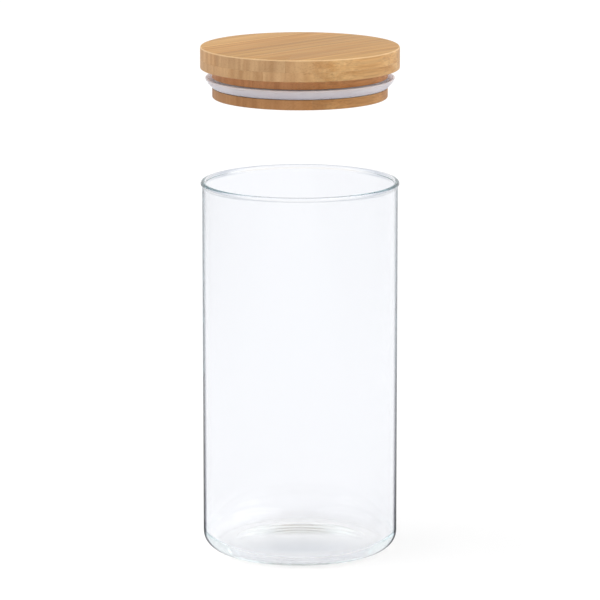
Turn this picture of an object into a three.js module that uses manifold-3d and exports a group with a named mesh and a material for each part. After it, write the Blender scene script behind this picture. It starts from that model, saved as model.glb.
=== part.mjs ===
// Lidded storage canister: a straight glass jar, and a bamboo lid whose plug carries a silicone lip seal.
// Millimetres, +Z up. The origin is the centre of the ring that the jar stands on. The lid is lifted off.
import * as THREE from "three";
import { mergeVertices } from "three/addons/utils/BufferGeometryUtils.js";
import Module from "manifold-3d";

const wasm = await Module();
wasm.setup();
const { Manifold, Mesh } = wasm;

// Glass jar
const jarHeight = 189;
const rimDiameter = 100;
const rimFlare = 0.7; // how far the melted rim bead stands outside the wall
const flareHeight = 1.6; // height over which the wall swells into the bead
const wallThickness = 1.7;
const baseThickness = 3.0;
const outerHeelRadius = 8;
const innerHeelRadius = 7;
const pushUpRadius = 33; // edge of the raised centre of the underside
const pushUpRise = 2.2;
const floorRise = 1.0; // how far the inside floor rises over the push-up

// Bamboo lid
const flangeOverhang = 0; // the flange's edge is flush with the rim
const flangeTopPly = 6.2;
const flangeLowerPly = 4.8;
const plugUpperPly = 4.5;
const plugCorePly = 5.2;
const plugCollarPly = 5.1;
const plugClearance = 3.6; // between the bare plug and the glass, all round
const grooveDepth = 3;
const topChamfer = 0.8;
const flangeLowerChamfer = 0.5;
const collarChamfer = 0.8;
const stripWidth = 20;
const narrowestStrip = 5; // a seam nearer to the edge than this is left out
const glueLine = 0.1; // between neighbouring strips, and between layers
const grainAngle = 45; // the strips run from front left to back right

// Silicone seal
const sealGlassGap = 0.15; // the lip's tip to the glass
const sealGrooveGap = 0.15; // the band to each face of its groove
const lipRoot = 0.3; // the foot of the lip outside the plug
const lipThickness = 0.7; // at the tip
const notchDepth = 1.5; // the groove behind the lip, which lets it flex
const notchWidth = 0.9;

// Open lid
const lidLift = 57.3; // the lid's height above its seat
const seatGap = 0.1; // flange to rim when the lid is on

// Fineness
const turnSegments = 72;
const arcPoints = 4;

const rimRadius = rimDiameter / 2;
const bodyRadius = rimRadius - rimFlare;
const innerRadius = bodyRadius - wallThickness;
const beadRadius = (wallThickness + rimFlare) / 2;
const flangeRadius = rimRadius + flangeOverhang;
const plugRadius = innerRadius - plugClearance;
const grooveRadius = plugRadius - grooveDepth;
const flangeBottom = jarHeight + seatGap + lidLift;
const flangeTop = flangeBottom + flangeLowerPly + flangeTopPly;
const grooveTop = flangeBottom - plugUpperPly;
const grooveBottom = grooveTop - plugCorePly;
const plugBottom = grooveBottom - plugCollarPly;

const bambooColour = 0xc79b66;
const glassColour = 0xdfe9ec;
const siliconeColour = 0xc3bdbd;

function point(radius, height) {
  return new THREE.Vector2(radius, height);
}

// Turns an outline of radius and height about the Z axis.
function turned(outline) {
  return new THREE.LatheGeometry(outline, turnSegments).rotateX(Math.PI / 2);
}

function solidOf(geometry) {
  const bare = geometry.clone();
  bare.deleteAttribute("normal");
  bare.deleteAttribute("uv");
  const merged = mergeVertices(bare, 1e-5);
  const index = Array.from(merged.index.array);
  const triangles = [];
  for (let i = 0; i < index.length; i += 3) {
    const [a, b, c] = index.slice(i, i + 3);
    if (a !== b && b !== c && c !== a) {
      triangles.push(a, b, c);
    }
  }
  const mesh = new Mesh({
    numProp: 3,
    vertProperties: new Float32Array(merged.attributes.position.array),
    triVerts: new Uint32Array(triangles),
  });
  return new Manifold(mesh);
}

function geometryOf(solid) {
  const mesh = solid.getMesh();
  const geometry = new THREE.BufferGeometry();
  geometry.setAttribute("position", new THREE.Float32BufferAttribute(mesh.vertProperties, 3));
  geometry.setIndex(Array.from(mesh.triVerts));
  geometry.computeVertexNormals();
  return geometry;
}

function named(name, geometry, colour, roughness, extra = {}) {
  const material = new THREE.MeshStandardMaterial({ color: colour, roughness, metalness: 0, ...extra });
  const mesh = new THREE.Mesh(geometry, material);
  mesh.name = name;
  return mesh;
}

// One closed outline: the underside and its push-up, the heel, the wall, the rim bead, and back inside.
function glassJar() {
  const standRadius = bodyRadius - outerHeelRadius;
  const innerFloorEdge = innerRadius - innerHeelRadius;
  const floorCentre = baseThickness + floorRise;
  const beadHeight = jarHeight - beadRadius;
  const flareStart = beadHeight - flareHeight;
  const outline = new THREE.Path();
  outline.moveTo(0, pushUpRise);
  outline.bezierCurveTo(pushUpRadius * 0.5, pushUpRise, pushUpRadius * 0.9, 0, pushUpRadius * 1.06, 0);
  outline.lineTo(standRadius, 0);
  outline.absarc(standRadius, outerHeelRadius, outerHeelRadius, -Math.PI / 2, 0, false);
  outline.lineTo(bodyRadius, flareStart);
  outline.bezierCurveTo(
    bodyRadius, flareStart + flareHeight / 2,
    rimRadius, flareStart + flareHeight / 2,
    rimRadius, beadHeight,
  );
  outline.absarc(innerRadius + beadRadius, beadHeight, beadRadius, 0, Math.PI, false);
  outline.lineTo(innerRadius, baseThickness + innerHeelRadius);
  outline.absarc(innerFloorEdge, baseThickness + innerHeelRadius, innerHeelRadius, 0, -Math.PI / 2, true);
  outline.lineTo(pushUpRadius, baseThickness);
  outline.bezierCurveTo(pushUpRadius * 0.8, baseThickness, pushUpRadius * 0.5, floorCentre, 0, floorCentre);
  const clear = { transparent: true, opacity: 0.35 };
  return named("glass_jar", turned(outline.getPoints(arcPoints)), glassColour, 0.04, clear);
}

// A flat band that fills the groove, with a lip that leans out and up to the glass and a notch behind it.
function siliconeSeal() {
  const top = grooveTop - sealGrooveGap;
  const bottom = grooveBottom + sealGrooveGap;
  const bandRadius = grooveRadius + sealGrooveGap;
  const tipRadius = innerRadius - sealGlassGap;
  const outline = [
    point(bandRadius, bottom),
    point(plugRadius + lipRoot, bottom),
    point(tipRadius, top - lipThickness / 2),
    point(tipRadius, top),
    point(tipRadius - lipThickness, top),
    point(plugRadius + lipRoot, top - notchDepth),
    point(plugRadius + lipRoot - notchWidth, top - notchDepth),
    point(plugRadius + lipRoot - notchWidth, top),
    point(bandRadius, top),
    point(bandRadius, bottom),
  ];
  return named("silicone_seal", turned(outline), siliconeColour, 0.45);
}

function seamsAcross(radius, firstSeam) {
  const seams = [];
  const reach = radius - narrowestStrip;
  const lowest = Math.ceil((-reach - firstSeam) / stripWidth);
  for (let i = lowest; firstSeam + i * stripWidth <= reach; i += 1) {
    seams.push(firstSeam + i * stripWidth);
  }
  return seams;
}

// One layer of the glued board, turned to its outline and divided into its strips.
function ply(name, outline, radius, firstSeam, colours) {
  const disc = solidOf(turned(outline));
  const length = 2 * radius + stripWidth;
  const height = 3 * flangeTop; // centred on the origin, so it reaches past every layer
  const edges = [-radius - stripWidth, ...seamsAcross(radius, firstSeam), radius + stripWidth];
  const strips = [];
  for (let i = 0; i + 1 < edges.length; i += 1) {
    const low = edges[i] + glueLine / 2;
    const high = edges[i + 1] - glueLine / 2;
    const slice = Manifold.cube([length, high - low, height], true)
      .translate([0, (low + high) / 2, 0])
      .rotate([0, 0, grainAngle]);
    const geometry = geometryOf(disc.intersect(slice));
    strips.push(named(`${name}_strip_${i + 1}`, geometry, colours[i % colours.length], 0.5));
  }
  return strips;
}

// The outline of a plain turned layer, with a chamfer on its upper or lower edge where one is asked for.
function discOutline(radius, bottom, top, lowerChamfer = 0, upperChamfer = 0) {
  const outline = [point(0, bottom), point(radius - lowerChamfer, bottom)];
  if (lowerChamfer > 0) {
    outline.push(point(radius, bottom + lowerChamfer));
  }
  if (upperChamfer > 0) {
    outline.push(point(radius, top - upperChamfer));
  }
  outline.push(point(radius - upperChamfer, top), point(0, top));
  return outline;
}

function bambooLid() {
  const pale = new THREE.Color(bambooColour).offsetHSL(0, -0.02, 0.05).getHex();
  const dark = new THREE.Color(bambooColour).offsetHSL(0, 0.02, -0.05).getHex();
  const half = glueLine / 2;
  const plySeam = flangeTop - flangeTopPly;
  const flangeTopOutline = discOutline(flangeRadius, plySeam + half, flangeTop, 0, topChamfer);
  const flangeLowerOutline = discOutline(
    flangeRadius, flangeBottom + half, plySeam - half, flangeLowerChamfer,
  );
  const plugUpperOutline = discOutline(plugRadius, grooveTop + half, flangeBottom - half);
  const plugCoreOutline = discOutline(grooveRadius, grooveBottom + half, grooveTop - half);
  const plugCollarOutline = discOutline(plugRadius, plugBottom, grooveBottom - half, collarChamfer);
  return [
    ...ply("flange_top", flangeTopOutline, flangeRadius, stripWidth / 2, [bambooColour, pale, dark]),
    ...ply("flange_lower", flangeLowerOutline, flangeRadius, 0, [dark, bambooColour, pale]),
    ...ply("plug_upper", plugUpperOutline, plugRadius, stripWidth / 2, [dark, bambooColour]),
    ...ply("plug_core", plugCoreOutline, grooveRadius, -stripWidth / 4, [bambooColour, pale]),
    ...ply("plug_collar", plugCollarOutline, plugRadius, stripWidth / 4, [pale, bambooColour, dark]),
  ];
}

const jar = glassJar();
const seal = siliconeSeal();
const lid = new THREE.Group();
lid.add(...bambooLid());

const canister = new THREE.Group();
canister.add(jar, seal, lid);

export default canister;
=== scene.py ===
# Looks of the lidded glass canister: fine glass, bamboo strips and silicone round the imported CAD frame.
# Lengths are in metres.
import math
import random
from collections import namedtuple

import bmesh
import bpy
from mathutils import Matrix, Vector

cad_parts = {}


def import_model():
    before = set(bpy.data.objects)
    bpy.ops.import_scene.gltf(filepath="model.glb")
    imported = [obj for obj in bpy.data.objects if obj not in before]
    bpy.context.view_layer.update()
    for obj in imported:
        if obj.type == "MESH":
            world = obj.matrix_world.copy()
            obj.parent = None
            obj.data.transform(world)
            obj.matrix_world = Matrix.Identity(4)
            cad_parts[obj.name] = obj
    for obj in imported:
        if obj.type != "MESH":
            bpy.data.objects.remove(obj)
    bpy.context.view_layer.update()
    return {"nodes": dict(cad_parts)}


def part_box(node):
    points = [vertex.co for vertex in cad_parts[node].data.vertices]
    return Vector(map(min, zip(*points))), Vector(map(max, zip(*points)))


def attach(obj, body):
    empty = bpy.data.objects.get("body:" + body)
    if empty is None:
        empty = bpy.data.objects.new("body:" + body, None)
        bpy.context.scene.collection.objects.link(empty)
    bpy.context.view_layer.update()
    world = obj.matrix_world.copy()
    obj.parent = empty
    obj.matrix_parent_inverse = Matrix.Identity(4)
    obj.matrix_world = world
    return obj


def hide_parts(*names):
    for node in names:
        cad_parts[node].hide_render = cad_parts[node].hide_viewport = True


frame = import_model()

MM = 0.001
WHITE = (1.0, 1.0, 1.0)

# Fineness of the meshes
TURN_STEPS = 288
ARC_STEPS = 14
PUSH_UP_STEPS = 28
SMALL_ARC_STEPS = 5
CHAMFER_STEPS = 4
LIP_STEPS = 6
SAME_POINT = 1e-7
SAME_HEIGHT = 1e-5
SHARP_ANGLE = 40  # degrees; an edge that turns by less is shaded smooth
SEAL_SHARP_ANGLE = 60
STRIP_SHARP_ANGLE = 30
ON_AXIS = 1e-9

# Glass jar, as in the CAD model
RIM_FLARE = 0.7 * MM
FLARE_HEIGHT = 1.6 * MM
WALL = 1.7 * MM
BASE_THICKNESS = 3.0 * MM
OUTER_HEEL = 8.0 * MM
INNER_HEEL = 7.0 * MM
PUSH_UP_RADIUS = 33 * MM
PUSH_UP_RISE = 2.2 * MM
FLOOR_RISE = 1.0 * MM

# Clear glass, with a painted dark line along its sides and rim that stands in for the dark room it
# mirrors there
GLASS_IOR = 1.47
DEPTH_COLOUR = (0.42, 0.59, 0.63)  # what is left of light that runs a long way inside
DEPTH_DENSITY = 4.0
PAINTED_EDGE_SHADE = (0.32, 0.41, 0.53)
SIDE_SHADE_AT_BASE = 0.9
SIDE_SHADE_AT_RIM = 0.16
SIDE_BY_SLANT = [(0.74, 0.0), (0.83, 1.0)]  # slant is 0 face on and 1 edge on
SIDE_BY_RISE = [(0.45, 1.0), (0.95, 0.0)]  # rise is 0 on the upright wall and 1 under the base
RIM_SHADE = 0.35
RIM_BY_SLANT = [(0.15, 0.0), (0.40, 1.0), (0.65, 0.5), (0.85, 0.12), (1.0, 0.0)]
RIM_DEPTH = 3.2 * MM  # the rim's painted shade begins this far below the top
RIM_FULL_DEPTH = 2.4 * MM
GLASS_WAVES = (60, 60, 15)  # faint waves in the wall, longer up it than round it

# Silicone seal
SILICONE_SHADES = [(0.3, (0.53, 0.505, 0.54)), (0.7, (0.59, 0.565, 0.60))]
SILICONE_GLOW = 7 * MM  # how far light spreads inside it
SILICONE_GLOW_BY_COLOUR = (1.0, 0.95, 0.95)
SILICONE_ROUGHNESS = (0.34, 0.52)
SILICONE_CLOUDS = 70
SILICONE_GRAIN = 900
SEAL_CORNER = 0.3 * MM
SEAL_HEEL = 0.8 * MM
LIP_ROUND = 0.35 * MM
NOTCH_DEPTH = 1.5 * MM
NOTCH_WIDTH = 0.9 * MM

# Bamboo lid
EDGE_ROUND = 0.8 * MM
LOWER_EDGE_ROUND = 0.5 * MM
SEAM = 0.03 * MM  # what shows of a glue line between two strips
SEAM_BEVEL = 0.06 * MM
BEVEL_ANGLE = 35
GLUE = 0.1 * MM  # the CAD model's gap between two strips
GRAIN_ANGLE = math.radians(45)
ACROSS = Vector((-math.sin(GRAIN_ANGLE), math.cos(GRAIN_ANGLE), 0))
NARROWEST = 1 * MM  # a strip that ends nearer to the lid's edge than this isn't cut there

# Bamboo's colours, and its shades by the strength of a noise
PALE = (0.68, 0.415, 0.185)
WARM = (0.54, 0.285, 0.105)
FIBRE = (0.30, 0.145, 0.055)
END_PALE = (0.60, 0.37, 0.19)
END_WARM = (0.47, 0.265, 0.125)
HALF_AND_HALF = [(0.35, 0.0), (0.65, 1.0)]
FINE_SHADES = [(0.25, 0.86), (0.75, 1.08)]
LINE_SHADES = [(0.38, 0.88), (0.60, 1.06)]
PATCH_SHADES = [(0.3, 0.92), (0.7, 1.05)]
BUNDLE_EDGE = [(0.18, 1.0), (0.46, 0.0)]
FIBRES_ON_SIDES = 0.28
DOTS_ON_ENDS = 0.22
CUT_END = [(0.45, 0.0), (0.80, 1.0)]  # by how far the surface faces along the grain
WANDER = 1.2 * MM
BUNDLE_RELIEF = 0.4
BAMBOO_ROUGHNESS = (0.40, 0.58)
BAMBOO_GLOSS = 0.25
TOP_PAINTED_SHADE = (0.94, 0.87, 0.66)  # painted shade: the flat top is painted a little darker and warmer than the sides
FLAT_TOP_SHADE_BY_RISE = [(0.90, 0.0), (0.98, 1.0)]
# a painted highlight along the rounded upper edge
EDGE_HIGHLIGHT_STRENGTH = 0.6
PAINTED_EDGE_HIGHLIGHT = (0.86, 0.60, 0.33)
EDGE_HIGHLIGHT_BY_RISE = [(0.20, 0.0), (0.45, EDGE_HIGHLIGHT_STRENGTH), (0.85, EDGE_HIGHLIGHT_STRENGTH), (0.97, 0.0)]

# The grain's noises, in steps a metre: along the strip, across it and up
WANDER_SCALE = (18, 120, 120)
BUNDLE_SCALE = (6, 1100, 1100)
FINE_SCALE = (22, 2600, 2600)
LINE_SCALE = (5, 650, 900)
BROAD_SCALE = (9, 260, 260)
BAND_SCALE = (60, 330, 30)
PATCH_SCALE = (14, 60, 60)

Layer = namedtuple("Layer", "name lower_round upper_round glued_below tone spread")
# On the plug's layers under the flange the colour factors are painted shade and painted warm light from
# the bamboo around them
LAYERS = (
    Layer("flange_top", 0.0, EDGE_ROUND, True, (1.02, 0.99, 0.92), 0.05),
    Layer("flange_lower", LOWER_EDGE_ROUND, 0.0, False, (1.0, 0.98, 0.92), 0.10),
    Layer("plug_upper", 0.0, 0.0, False, (1.16, 0.92, 0.78), 0.06),
    Layer("plug_core", 0.0, 0.0, False, (1.0, 0.9, 0.8), 0.06),
    Layer("plug_collar", EDGE_ROUND, 0.0, False, (0.76, 0.62, 0.48), 0.06),
)
WARMTH_SPREAD = 0.03
GRAIN_SHIFT = (1, 0.3, 0.3)  # how far each strip's grain may be moved from its neighbour's

# Floor
FLOOR_RADIUS = 6.0
FLOOR_DROP = 0.05 * MM
FLOOR_STEPS = 96
FLOOR_ROUGHNESS = 0.9
FLOOR_SEEN = (0.94, 0.94, 0.94)
FLOOR_BEHIND = (0.835, 0.845, 0.875)  # as it is seen through the glass
FLOOR_PAINTED_SHADOW = (0.60, 0.63, 0.675)  # painted shadow of the jar: the same, but darker under the front of the hollow base
SHADOW_CENTRE = (0, -PUSH_UP_RADIUS * 0.4, 0)
SHADOW_INNER = PUSH_UP_RADIUS * 0.2
SHADOW_OUTER = PUSH_UP_RADIUS * 0.95
SHADOW_SQUEEZE = (0.6, 1, 1)  # makes the painted shadow wider than it is deep
FLOOR_PAINTED_LEFT_SHADE = 0.72  # painted shade on the floor far out on the left, as the glass mirrors it
LEFT_FROM = -0.7
LEFT_TO = -0.3

# Lights: direction, power and spread in degrees
KEY = ((1.0, -0.35, 0.85), 1.1, 60)
FILL = ((-1.0, -0.25, 0.8), 0.8, 70)
LIGHT_BOUNCES = 200  # light that enters at the rim runs a long way inside the wall and the thick base

# The room: its front wall from left to right, its backdrop, and its soft light from both sides
ROOM_FRONT = [(0.0, 0.75), (0.35, 0.80), (0.65, 0.88), (1.0, 0.95)]
BACKDROP = WHITE
BACKDROP_MIRRORED = (0.9, 0.9, 0.9)
BACKDROP_FROM = [(0.55, 0.0), (0.80, 1.0)]  # from front, 0, to back, 1
AMBIENT = 0.80
AMBIENT_BY_SIDE = [(0.35, AMBIENT * 0.85), (1.0, AMBIENT * 1.35)]
SEEN_WHITE = (1.1, 1.1, 1.1)

CAMERA_PLACE = (0, -2.0, 0.545)
CAMERA_AIM = (0, 0, 0.1276)
CAMERA_LENS = 242.1
CAMERA_SENSOR = 36
CAMERA_CLIP = (0.01, 100)

rng = random.Random(7)


# ---------- outlines ----------

def arc(centre, radius, start, end, steps=ARC_STEPS):
    """Points of a circular arc in the plane of radius and height, angles in degrees."""
    points = []
    for i in range(steps + 1):
        angle = math.radians(start + (end - start) * i / steps)
        points.append((centre[0] + radius * math.cos(angle), centre[1] + radius * math.sin(angle)))
    return points


def bezier(a, b, c, d, steps=ARC_STEPS):
    points = []
    for i in range(steps + 1):
        t = i / steps
        u = 1 - t
        weights = (u ** 3, 3 * u * u * t, 3 * u * t * t, t ** 3)
        points.append(tuple(sum(w * p[k] for w, p in zip(weights, (a, b, c, d))) for k in (0, 1)))
    return points


def without_repeats(points):
    kept = []
    for p in points:
        if not kept or math.dist(kept[-1], p) > SAME_POINT:
            kept.append(p)
    return kept


# ---------- meshes ----------

def turned(outline, closed=False):
    """A bmesh of the outline turned about Z. An open outline starts and ends on the axis."""
    bm = bmesh.new()
    rings = []
    for radius, height in outline:
        if radius < ON_AXIS:
            rings.append([bm.verts.new((0, 0, height))])
            continue
        ring = []
        for i in range(TURN_STEPS):
            angle = 2 * math.pi * i / TURN_STEPS
            ring.append(bm.verts.new((radius * math.cos(angle), radius * math.sin(angle), height)))
        rings.append(ring)
    pairs = list(zip(rings, rings[1:]))
    if closed:
        pairs.append((rings[-1], rings[0]))
    for low, high in pairs:
        for i in range(TURN_STEPS):
            j = (i + 1) % TURN_STEPS
            corners = [low[i % len(low)], low[j % len(low)], high[j % len(high)], high[i % len(high)]]
            face = list(dict.fromkeys(corners))
            if len(face) > 2:
                bm.faces.new(face)
    bmesh.ops.recalc_face_normals(bm, faces=bm.faces)
    return bm


def piece(name, bm, material, sharp_angle=SHARP_ANGLE):
    """An object of the bmesh, smooth except where it turns by more than the angle."""
    mesh = bpy.data.meshes.new(name)
    bm.to_mesh(mesh)
    bm.free()
    mesh.materials.append(material)
    mesh.polygons.foreach_set("use_smooth", [True] * len(mesh.polygons))
    mesh.set_sharp_from_angle(angle=math.radians(sharp_angle))
    obj = bpy.data.objects.new(name, mesh)
    bpy.context.scene.collection.objects.link(obj)
    return obj


# ---------- node helpers ----------

def new_material(name):
    material = bpy.data.materials.new(name)
    material.use_nodes = True
    tree = material.node_tree
    shader = tree.nodes["Principled BSDF"]
    return material, tree, shader


def link(tree, source, target):
    tree.links.new(source, target)


def math_node(tree, operation, a, b=None):
    node = tree.nodes.new("ShaderNodeMath")
    node.operation = operation
    for socket, value in zip(node.inputs, (a, b)):
        if value is None:
            continue
        if isinstance(value, (int, float)):
            socket.default_value = value
        else:
            link(tree, value, socket)
    return node.outputs[0]


def product(tree, first, *others):
    result = first
    for other in others:
        result = math_node(tree, "MULTIPLY", result, other)
    return result


def hypotenuse(tree, a, b):
    squares = math_node(tree, "ADD", product(tree, a, a), product(tree, b, b))
    return math_node(tree, "SQRT", squares)


def vector_node(tree, operation, a, b):
    node = tree.nodes.new("ShaderNodeVectorMath")
    node.operation = operation
    for socket, value in zip(node.inputs, (a, b)):
        if isinstance(value, tuple):
            socket.default_value = value
        else:
            link(tree, value, socket)
    return node.outputs


def axes_of(tree, vector):
    """The outputs X, Y and Z of a vector."""
    node = tree.nodes.new("ShaderNodeSeparateXYZ")
    link(tree, vector, node.inputs[0])
    return node.outputs


def ramp(tree, factor, stops):
    """A colour ramp from (position, colour) pairs, where a colour is three numbers or one grey."""
    node = tree.nodes.new("ShaderNodeValToRGB")
    link(tree, factor, node.inputs["Fac"])
    elements = node.color_ramp.elements
    while len(elements) < len(stops):
        elements.new(0.5)
    for element, (position, colour) in zip(elements, stops):
        element.position = position
        element.color = (*colour, 1) if isinstance(colour, tuple) else (colour, colour, colour, 1)
    return node.outputs["Color"]


def mix_colour(tree, blend, factor, a, b):
    node = tree.nodes.new("ShaderNodeMix")
    node.data_type = "RGBA"
    node.blend_type = blend
    # A mix node lists the sockets of every data type, and these are a colour mix's own.
    factor_socket, a_socket, b_socket = node.inputs[0], node.inputs[6], node.inputs[7]
    for socket, value in ((factor_socket, factor), (a_socket, a), (b_socket, b)):
        if isinstance(value, (int, float)):
            socket.default_value = value
        elif isinstance(value, tuple):
            socket.default_value = (*value, 1)
        else:
            link(tree, value, socket)
    return node.outputs[2]


def shaded(tree, colour, factor, stops):
    """The colour, made lighter and darker by a ramp of the factor."""
    return mix_colour(tree, "MULTIPLY", 1.0, colour, ramp(tree, factor, stops))


def span(tree, value, start, end, low, high):
    """The value carried from the range start..end to low..high, and held there outside it."""
    node = tree.nodes.new("ShaderNodeMapRange")
    numbers = {"From Min": start, "From Max": end, "To Min": low, "To Max": high}
    for name, number in numbers.items():
        node.inputs[name].default_value = number
    link(tree, value, node.inputs["Value"])
    return node.outputs[0]


def stretched(tree, vector, scale):
    node = tree.nodes.new("ShaderNodeMapping")
    node.inputs["Scale"].default_value = scale
    link(tree, vector, node.inputs["Vector"])
    return node.outputs[0]


def noise(tree, vector, scale, detail=3.0, roughness=0.5):
    """Noise of that scale, which is one number, or three for a noise that is stretched."""
    if isinstance(scale, tuple):
        vector = stretched(tree, vector, scale)
        scale = 1.0
    node = tree.nodes.new("ShaderNodeTexNoise")
    node.inputs["Scale"].default_value = scale
    node.inputs["Detail"].default_value = detail
    node.inputs["Roughness"].default_value = roughness
    link(tree, vector, node.inputs["Vector"])
    return node.outputs["Fac"]


def add_bump(tree, shader, height, strength, distance):
    bump = tree.nodes.new("ShaderNodeBump")
    bump.inputs["Strength"].default_value = strength
    bump.inputs["Distance"].default_value = distance
    link(tree, height, bump.inputs["Height"])
    link(tree, bump.outputs[0], shader.inputs["Normal"])


# ---------- glass ----------

def painted_side_shade(tree, place, slant, rise, high):
    """Painted shade: the outer wall and heel are painted darkest along their two sides, more so towards
    the thick base.
    """
    across = hypotenuse(tree, place["X"], place["Y"])
    out = math_node(tree, "SUBTRACT", across, high.x - RIM_FLARE - OUTER_HEEL)
    below = math_node(tree, "MINIMUM", math_node(tree, "SUBTRACT", place["Z"], OUTER_HEEL), 0.0)
    from_heel_centre = hypotenuse(tree, out, below)
    # Only the outer surface lies this far from the line round which the heel turns.
    outer = span(tree, from_heel_centre, OUTER_HEEL - WALL * 0.5, OUTER_HEEL - WALL * 0.3, 0.0, 1.0)
    upright = ramp(tree, math_node(tree, "ABSOLUTE", rise), SIDE_BY_RISE)
    thicker = span(tree, place["Z"], 0.0, high.z, SIDE_SHADE_AT_BASE, SIDE_SHADE_AT_RIM)
    return product(tree, ramp(tree, slant, SIDE_BY_SLANT), upright, outer, thicker)


def painted_rim_shade(tree, place, slant, high):
    """Painted shade: the rounded rim is outlined dark all the way round."""
    at_rim = span(tree, place["Z"], high.z - RIM_DEPTH, high.z - RIM_FULL_DEPTH, 0.0, RIM_SHADE)
    return product(tree, ramp(tree, slant, RIM_BY_SLANT), at_rim)


def glass_material():
    material, tree, shader = new_material("clear_glass")
    shader.inputs["Base Color"].default_value = (*WHITE, 1)
    shader.inputs["Transmission Weight"].default_value = 1.0
    shader.inputs["Roughness"].default_value = 0.0
    shader.inputs["IOR"].default_value = GLASS_IOR

    # Painted shade: a coat that bends no light only tints what passes it, most where the glass turns edge
    # on along its sides and rim.
    coords = tree.nodes.new("ShaderNodeTexCoord")
    place = axes_of(tree, coords.outputs["Object"])
    facing = tree.nodes.new("ShaderNodeLayerWeight")
    facing.inputs["Blend"].default_value = 0.5
    slant = facing.outputs["Facing"]
    shape = tree.nodes.new("ShaderNodeNewGeometry")
    rise = axes_of(tree, shape.outputs["Normal"])["Z"]
    low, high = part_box("glass_jar")
    sides = painted_side_shade(tree, place, slant, rise, high)
    edge_shade = math_node(tree, "MAXIMUM", sides, painted_rim_shade(tree, place, slant, high))
    from_outside = math_node(tree, "SUBTRACT", 1.0, shape.outputs["Backfacing"])
    link(tree, product(tree, edge_shade, from_outside), shader.inputs["Coat Weight"])
    shader.inputs["Coat Roughness"].default_value = 0.0
    shader.inputs["Coat IOR"].default_value = 1.0
    shader.inputs["Coat Tint"].default_value = (*PAINTED_EDGE_SHADE, 1)

    absorb = tree.nodes.new("ShaderNodeVolumeAbsorption")
    absorb.inputs["Color"].default_value = (*DEPTH_COLOUR, 1)
    absorb.inputs["Density"].default_value = DEPTH_DENSITY
    link(tree, absorb.outputs[0], tree.nodes["Material Output"].inputs["Volume"])
    wave = noise(tree, coords.outputs["Object"], GLASS_WAVES, detail=1.0)
    add_bump(tree, shader, wave, strength=0.02, distance=0.2 * MM)
    return material


def jar_outline():
    low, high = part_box("glass_jar")
    height = high.z
    rim = high.x
    body = rim - RIM_FLARE
    inner = body - WALL
    bead = (WALL + RIM_FLARE) / 2
    bead_height = height - bead
    flare = bead_height - FLARE_HEIGHT
    stand = body - OUTER_HEEL
    floor_edge = inner - INNER_HEEL
    floor_centre = BASE_THICKNESS + FLOOR_RISE
    points = []
    # The underside: a push-up with a flat top and a soft foot
    points += bezier((0, PUSH_UP_RISE), (PUSH_UP_RADIUS * 0.5, PUSH_UP_RISE),
                     (PUSH_UP_RADIUS * 0.9, 0), (PUSH_UP_RADIUS * 1.06, 0), PUSH_UP_STEPS)
    # The heel, the wall, its flare and the rim bead
    points += arc((stand, OUTER_HEEL), OUTER_HEEL, -90, 0)
    points += bezier((body, flare), (body, flare + FLARE_HEIGHT / 2),
                     (rim, flare + FLARE_HEIGHT / 2), (rim, bead_height))
    points += arc((inner + bead, bead_height), bead, 0, 180)
    # Back down inside, to the floor's raised middle
    points += arc((floor_edge, BASE_THICKNESS + INNER_HEEL), INNER_HEEL, 0, -90)
    points += bezier((PUSH_UP_RADIUS, BASE_THICKNESS), (PUSH_UP_RADIUS * 0.8, BASE_THICKNESS),
                     (PUSH_UP_RADIUS * 0.5, floor_centre), (0, floor_centre))
    return without_repeats(points)


def glass_jar():
    jar = piece("glass_jar_fine", turned(jar_outline()), glass_material())
    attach(jar, "jar")
    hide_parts("glass_jar")
    # A shadow painted on the floor, seen only through the glass, stands for the little shade that clear
    # glass casts.
    jar.visible_shadow = False


# ---------- silicone seal ----------

def silicone_material():
    material, tree, shader = new_material("silicone")
    coords = tree.nodes.new("ShaderNodeTexCoord")
    cloud = noise(tree, coords.outputs["Object"], SILICONE_CLOUDS, detail=4.0)
    link(tree, ramp(tree, cloud, SILICONE_SHADES), shader.inputs["Base Color"])
    shader.inputs["Subsurface Weight"].default_value = 1.0
    shader.inputs["Subsurface Radius"].default_value = SILICONE_GLOW_BY_COLOUR
    shader.inputs["Subsurface Scale"].default_value = SILICONE_GLOW
    fine = noise(tree, coords.outputs["Object"], SILICONE_GRAIN)
    link(tree, span(tree, fine, 0, 1, *SILICONE_ROUGHNESS), shader.inputs["Roughness"])
    add_bump(tree, shader, fine, strength=0.15, distance=0.05 * MM)
    return material


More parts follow.
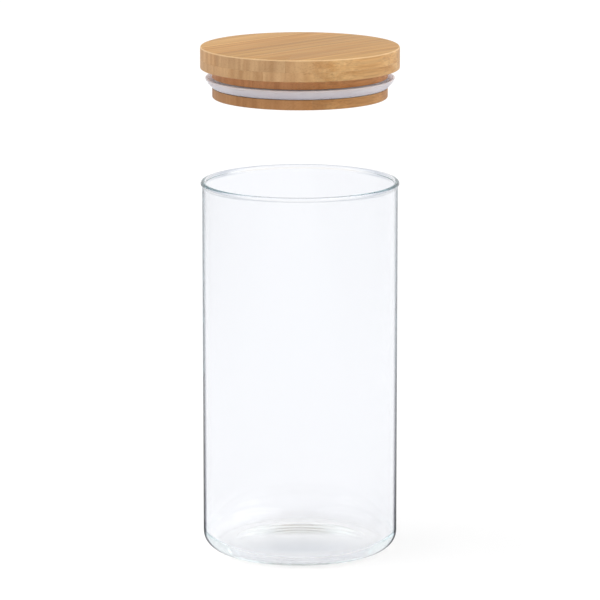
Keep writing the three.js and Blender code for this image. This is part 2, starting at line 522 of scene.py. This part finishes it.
def seal_outline():
    """A band that fills the groove, and a lip that leans out and up, with a notch behind it."""
    low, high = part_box("silicone_seal")
    vertices = frame["nodes"]["silicone_seal"].data.vertices
    tip, top, bottom = high.x, high.z, low.z
    inside = min(math.hypot(v.co.x, v.co.y) for v in vertices)
    foot = max(math.hypot(v.co.x, v.co.y) for v in vertices if v.co.z < bottom + SAME_HEIGHT)
    notch_floor = top - NOTCH_DEPTH
    notch_inner = foot - NOTCH_WIDTH
    points = []
    # The band's lower side
    points += arc((inside + SEAL_CORNER, bottom + SEAL_CORNER), SEAL_CORNER, 180, 270, SMALL_ARC_STEPS)
    points += arc((foot - SEAL_HEEL, bottom + SEAL_HEEL), SEAL_HEEL, -90, -35, SMALL_ARC_STEPS)
    # The lip, up its outer face, round its tip and down behind it to the notch
    points += bezier((foot + 0.05 * MM, bottom + 0.35 * MM), (foot + 1.0 * MM, bottom + 1.5 * MM),
                     (tip - 0.5 * MM, top - 1.8 * MM), (tip, top - LIP_ROUND))
    points += arc((tip - LIP_ROUND, top - LIP_ROUND), LIP_ROUND, 0, 100, LIP_STEPS)
    points += bezier((tip - 0.7 * MM, top - 0.1 * MM), (tip - 1.3 * MM, top - 1.0 * MM),
                     (foot + 0.8 * MM, notch_floor), (foot, notch_floor))
    points += [(notch_inner, notch_floor)]
    # The band's upper side
    points += arc((notch_inner - SEAL_CORNER, top - SEAL_CORNER), SEAL_CORNER, 0, 90, SMALL_ARC_STEPS)
    points += arc((inside + SEAL_CORNER, top - SEAL_CORNER), SEAL_CORNER, 90, 180, SMALL_ARC_STEPS)
    return without_repeats(points)


def silicone_seal():
    ring = turned(seal_outline(), closed=True)
    seal = piece("silicone_seal_fine", ring, silicone_material(), SEAL_SHARP_ANGLE)
    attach(seal, "seal")
    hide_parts("silicone_seal")


# ---------- bamboo lid ----------

def attribute(tree, name):
    node = tree.nodes.new("ShaderNodeAttribute")
    node.attribute_name = name
    return node.outputs


def turned_to_grain(tree, vector, kind):
    """The vector in the grain's own axes, with X along the strips."""
    node = tree.nodes.new("ShaderNodeMapping")
    node.vector_type = kind
    node.inputs["Rotation"].default_value = (0, 0, -GRAIN_ANGLE)
    link(tree, vector, node.inputs["Vector"])
    return node.outputs[0]


def wandering(tree, along):
    """The bundles wander a little as they run."""
    swing = noise(tree, along, WANDER_SCALE, detail=2.0)
    aside = product(tree, math_node(tree, "SUBTRACT", swing, 0.5), WANDER)
    push = tree.nodes.new("ShaderNodeCombineXYZ")
    link(tree, aside, push.inputs["Y"])
    link(tree, aside, push.inputs["Z"])
    return vector_node(tree, "ADD", along, push.outputs[0])[0]


def bundles(tree, bent):
    """Vascular bundles, long thin cells with a soft edge."""
    cells = tree.nodes.new("ShaderNodeTexVoronoi")
    cells.feature = "F1"
    cells.inputs["Scale"].default_value = 1.0
    link(tree, stretched(tree, bent, BUNDLE_SCALE), cells.inputs["Vector"])
    return ramp(tree, cells.outputs["Distance"], BUNDLE_EDGE)


def side_grain(tree, bent, bundle, fine):
    broad = noise(tree, bent, BROAD_SCALE)
    lines = noise(tree, bent, LINE_SCALE, roughness=0.6)
    ground = mix_colour(tree, "MIX", ramp(tree, broad, HALF_AND_HALF), PALE, WARM)
    with_fibres = mix_colour(tree, "MIX", product(tree, bundle, FIBRES_ON_SIDES), ground, FIBRE)
    streaked = shaded(tree, with_fibres, fine, FINE_SHADES)
    return shaded(tree, streaked, lines, LINE_SHADES)


def end_grain(tree, along, bundle):
    """On a cut end the bundles are dots, between faint bands that stand upright."""
    bands = noise(tree, along, BAND_SCALE, detail=2.0)
    ground = mix_colour(tree, "MIX", ramp(tree, bands, HALF_AND_HALF), END_PALE, END_WARM)
    return mix_colour(tree, "MIX", product(tree, bundle, DOTS_ON_ENDS), ground, FIBRE)


def bamboo_material():
    """Vascular bundles run along the strips, so cut ends show dots and sides show fibres."""
    material, tree, shader = new_material("bamboo")
    coords = tree.nodes.new("ShaderNodeTexCoord")
    in_grain = turned_to_grain(tree, coords.outputs["Object"], "POINT")
    along = vector_node(tree, "ADD", in_grain, attribute(tree, "shift")["Vector"])[0]
    bent = wandering(tree, along)
    bundle = bundles(tree, bent)
    fine = noise(tree, bent, FINE_SCALE, roughness=0.6)
    patch = noise(tree, along, PATCH_SCALE, detail=2.0)

    facing = axes_of(tree, turned_to_grain(tree, coords.outputs["Normal"], "VECTOR"))
    cut_end = ramp(tree, math_node(tree, "ABSOLUTE", facing["X"]), CUT_END)
    sides = side_grain(tree, bent, bundle, fine)
    ends = end_grain(tree, along, bundle)
    grained = mix_colour(tree, "MIX", cut_end, sides, ends)
    patched = shaded(tree, grained, patch, PATCH_SHADES)
    # On the plug's layers this colour factor is painted shade
    toned_and_shaded = mix_colour(tree, "MULTIPLY", 1.0, patched, attribute(tree, "tone")["Color"])

    # Painted shade and a painted highlight: the flat top is painted darker and warmer, and the rounded
    # upper edge is painted pale.
    shape = tree.nodes.new("ShaderNodeNewGeometry")
    upward = axes_of(tree, shape.outputs["Normal"])["Z"]
    # Painted shade on the flat top
    top_shaded = mix_colour(tree, "MULTIPLY", ramp(tree, upward, FLAT_TOP_SHADE_BY_RISE), toned_and_shaded, TOP_PAINTED_SHADE)
    highlighted = mix_colour(tree, "MIX", ramp(tree, upward, EDGE_HIGHLIGHT_BY_RISE), top_shaded, PAINTED_EDGE_HIGHLIGHT)
    link(tree, highlighted, shader.inputs["Base Color"])

    link(tree, span(tree, fine, 0, 1, *BAMBOO_ROUGHNESS), shader.inputs["Roughness"])
    shader.inputs["Specular IOR Level"].default_value = BAMBOO_GLOSS
    relief = math_node(tree, "SUBTRACT", fine, product(tree, bundle, BUNDLE_RELIEF))
    add_bump(tree, shader, relief, strength=0.25, distance=0.08 * MM)
    return material


def strip_span(node):
    """How far a strip reaches across the grain, from its CAD solid."""
    reach = [v.co.dot(ACROSS) for v in node.data.vertices]
    return min(reach), max(reach)


def rounded_disc(radius, bottom, top, lower_round, upper_round):
    points = [(0, bottom)]
    if lower_round:
        points += arc((radius - lower_round, bottom + lower_round), lower_round, -90, 0, CHAMFER_STEPS)
    else:
        points.append((radius, bottom))
    if upper_round:
        points += arc((radius - upper_round, top - upper_round), upper_round, 0, 90, SMALL_ARC_STEPS)
    else:
        points.append((radius, top))
    points.append((0, top))
    return points


def cut_to_strip(bm, start, end, radius):
    """Cuts the disc off at a strip's two seams, and closes the cuts."""
    for limit, side in ((start, 1), (end, -1)):
        if abs(limit) > radius - NARROWEST:
            continue
        cut = limit - side * (GLUE - SEAM) / 2
        everything = list(bm.verts) + list(bm.edges) + list(bm.faces)
        result = bmesh.ops.bisect_plane(
            bm, geom=everything, plane_co=ACROSS * cut, plane_no=ACROSS * side, clear_inner=True,
        )
        edges = [e for e in result["geom_cut"] if isinstance(e, bmesh.types.BMEdge)]
        bmesh.ops.contextual_create(bm, geom=edges)
    bmesh.ops.recalc_face_normals(bm, faces=bm.faces)


def bamboo_strip(name, radius, layer, material):
    node = frame["nodes"][name]
    low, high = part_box(name)
    bottom = low.z - (GLUE - SEAM) * layer.glued_below
    bm = turned(rounded_disc(radius, bottom, high.z, layer.lower_round, layer.upper_round))
    cut_to_strip(bm, *strip_span(node), radius)
    strip = piece(name + "_fine", bm, material, STRIP_SHARP_ANGLE)
    paint(strip, layer.tone, layer.spread)
    bevel = strip.modifiers.new("seam_edge", "BEVEL")
    bevel.width = SEAM_BEVEL
    bevel.segments = 1
    bevel.limit_method = "ANGLE"
    bevel.angle_limit = math.radians(BEVEL_ANGLE)
    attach(strip, "lid")
    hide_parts(name)


def paint(strip, layer_tone_and_shade, spread):
    """Gives a strip its own shade, and its own place in the grain."""
    light = rng.uniform(1 - spread, 1 + spread)
    warmth = rng.uniform(-WARMTH_SPREAD, WARMTH_SPREAD)
    # A warmer strip has more red and less blue.
    own = (light * (1 + warmth), light, light * (1 - 1.5 * warmth))
    # The layer's colour factor is painted shade on the plug's layers.
    shade = (*(a * b for a, b in zip(own, layer_tone_and_shade)), 1)
    move = tuple(rng.uniform(-reach, reach) for reach in GRAIN_SHIFT)
    tone = strip.data.attributes.new("tone", "FLOAT_COLOR", "POINT")
    shift = strip.data.attributes.new("shift", "FLOAT_VECTOR", "POINT")
    for i in range(len(strip.data.vertices)):
        tone.data[i].color = shade
        shift.data[i].vector = move


def bamboo_lid():
    material = bamboo_material()
    for layer in LAYERS:
        names = sorted(n for n in frame["nodes"] if n.startswith(layer.name + "_strip_"))
        radius = max(
            math.hypot(v.co.x, v.co.y) for n in names for v in frame["nodes"][n].data.vertices
        )
        for name in names:
            bamboo_strip(name, radius, layer, material)


# ---------- stage, lights and camera ----------

def floor_material():
    """One plain pale shade to the camera, and dimmer where it is seen through the glass or in it, with a
    painted shadow under the front of the base and painted shade far out on the left.
    """
    material, tree, shader = new_material("pale_floor")
    path = tree.nodes.new("ShaderNodeLightPath")
    coords = tree.nodes.new("ShaderNodeTexCoord")
    place = coords.outputs["Object"]
    # A painted shadow under the front of the hollow base, seen through the glass
    away = vector_node(tree, "DISTANCE", stretched(tree, place, SHADOW_SQUEEZE), SHADOW_CENTRE)["Value"]
    under = span(tree, away, SHADOW_INNER, SHADOW_OUTER, 1.0, 0.0)
    seen_through = mix_colour(tree, "MIX", under, FLOOR_BEHIND, FLOOR_PAINTED_SHADOW)
    # Painted shade far out on the left, for the glass to mirror
    left = span(tree, axes_of(tree, place)["X"], LEFT_FROM, LEFT_TO, FLOOR_PAINTED_LEFT_SHADE, 1.0)
    behind = mix_colour(tree, "MULTIPLY", 1.0, seen_through, left)
    shade = mix_colour(tree, "MIX", path.outputs["Is Camera Ray"], behind, FLOOR_SEEN)
    link(tree, shade, shader.inputs["Base Color"])
    shader.inputs["Roughness"].default_value = FLOOR_ROUGHNESS
    shader.inputs["Specular IOR Level"].default_value = 0.0
    return material


def floor():
    bm = bmesh.new()
    bmesh.ops.create_circle(bm, cap_ends=True, segments=FLOOR_STEPS, radius=FLOOR_RADIUS)
    ground = piece("floor", bm, floor_material())
    ground.location.z = -FLOOR_DROP


def soft_sun(name, direction, power, spread):
    """Even light on the whole floor, from a wide soft source far away in that direction."""
    data = bpy.data.lights.new(name, "SUN")
    data.energy = power
    data.angle = math.radians(spread)
    lamp = bpy.data.objects.new(name, data)
    bpy.context.scene.collection.objects.link(lamp)
    lamp.rotation_euler = Vector(direction).to_track_quat("Z", "Y").to_euler()


def lights():
    soft_sun("key", *KEY)
    soft_sun("fill", *FILL)


def world():
    """White to the camera, soft light from both sides, and a room for the glass to mirror."""
    sky = bpy.data.worlds.new("studio")
    sky.use_nodes = True
    tree = sky.node_tree
    background = tree.nodes["Background"]
    coords = tree.nodes.new("ShaderNodeTexCoord")
    direction = axes_of(tree, coords.outputs["Generated"])
    rightness = span(tree, direction["X"], -1.0, 1.0, 0.0, 1.0)
    behind = span(tree, direction["Y"], -1.0, 1.0, 0.0, 1.0)
    rays = tree.nodes.new("ShaderNodeLightPath").outputs
    mirrored = math_node(tree, "SUBTRACT", rays["Is Glossy Ray"], rays["Is Transmission Ray"])
    backdrop = mix_colour(tree, "MIX", mirrored, BACKDROP, BACKDROP_MIRRORED)
    front = ramp(tree, rightness, ROOM_FRONT)
    room = mix_colour(tree, "MIX", ramp(tree, behind, BACKDROP_FROM), front, backdrop)
    sides = ramp(tree, math_node(tree, "ABSOLUTE", direction["X"]), AMBIENT_BY_SIDE)
    lit = mix_colour(tree, "MIX", rays["Is Diffuse Ray"], room, sides)
    shown = mix_colour(tree, "MIX", rays["Is Camera Ray"], lit, SEEN_WHITE)
    link(tree, shown, background.inputs["Color"])
    bpy.context.scene.world = sky


def camera():
    data = bpy.data.cameras.new("camera")
    cam = bpy.data.objects.new("camera", data)
    bpy.context.scene.collection.objects.link(cam)
    data.sensor_width = CAMERA_SENSOR
    data.lens = CAMERA_LENS
    data.clip_start, data.clip_end = CAMERA_CLIP
    cam.location = CAMERA_PLACE
    cam.rotation_euler = (Vector(CAMERA_AIM) - cam.location).to_track_quat("-Z", "Y").to_euler()
    bpy.context.scene.camera = cam


def view_and_bounces():
    bpy.context.scene.view_settings.view_transform = "Standard"
    limits = bpy.context.scene.cycles
    limits.max_bounces = LIGHT_BOUNCES
    limits.transmission_bounces = LIGHT_BOUNCES
    limits.glossy_bounces = LIGHT_BOUNCES


glass_jar()
silicone_seal()
bamboo_lid()
floor()
lights()
world()
camera()
view_and_bounces()
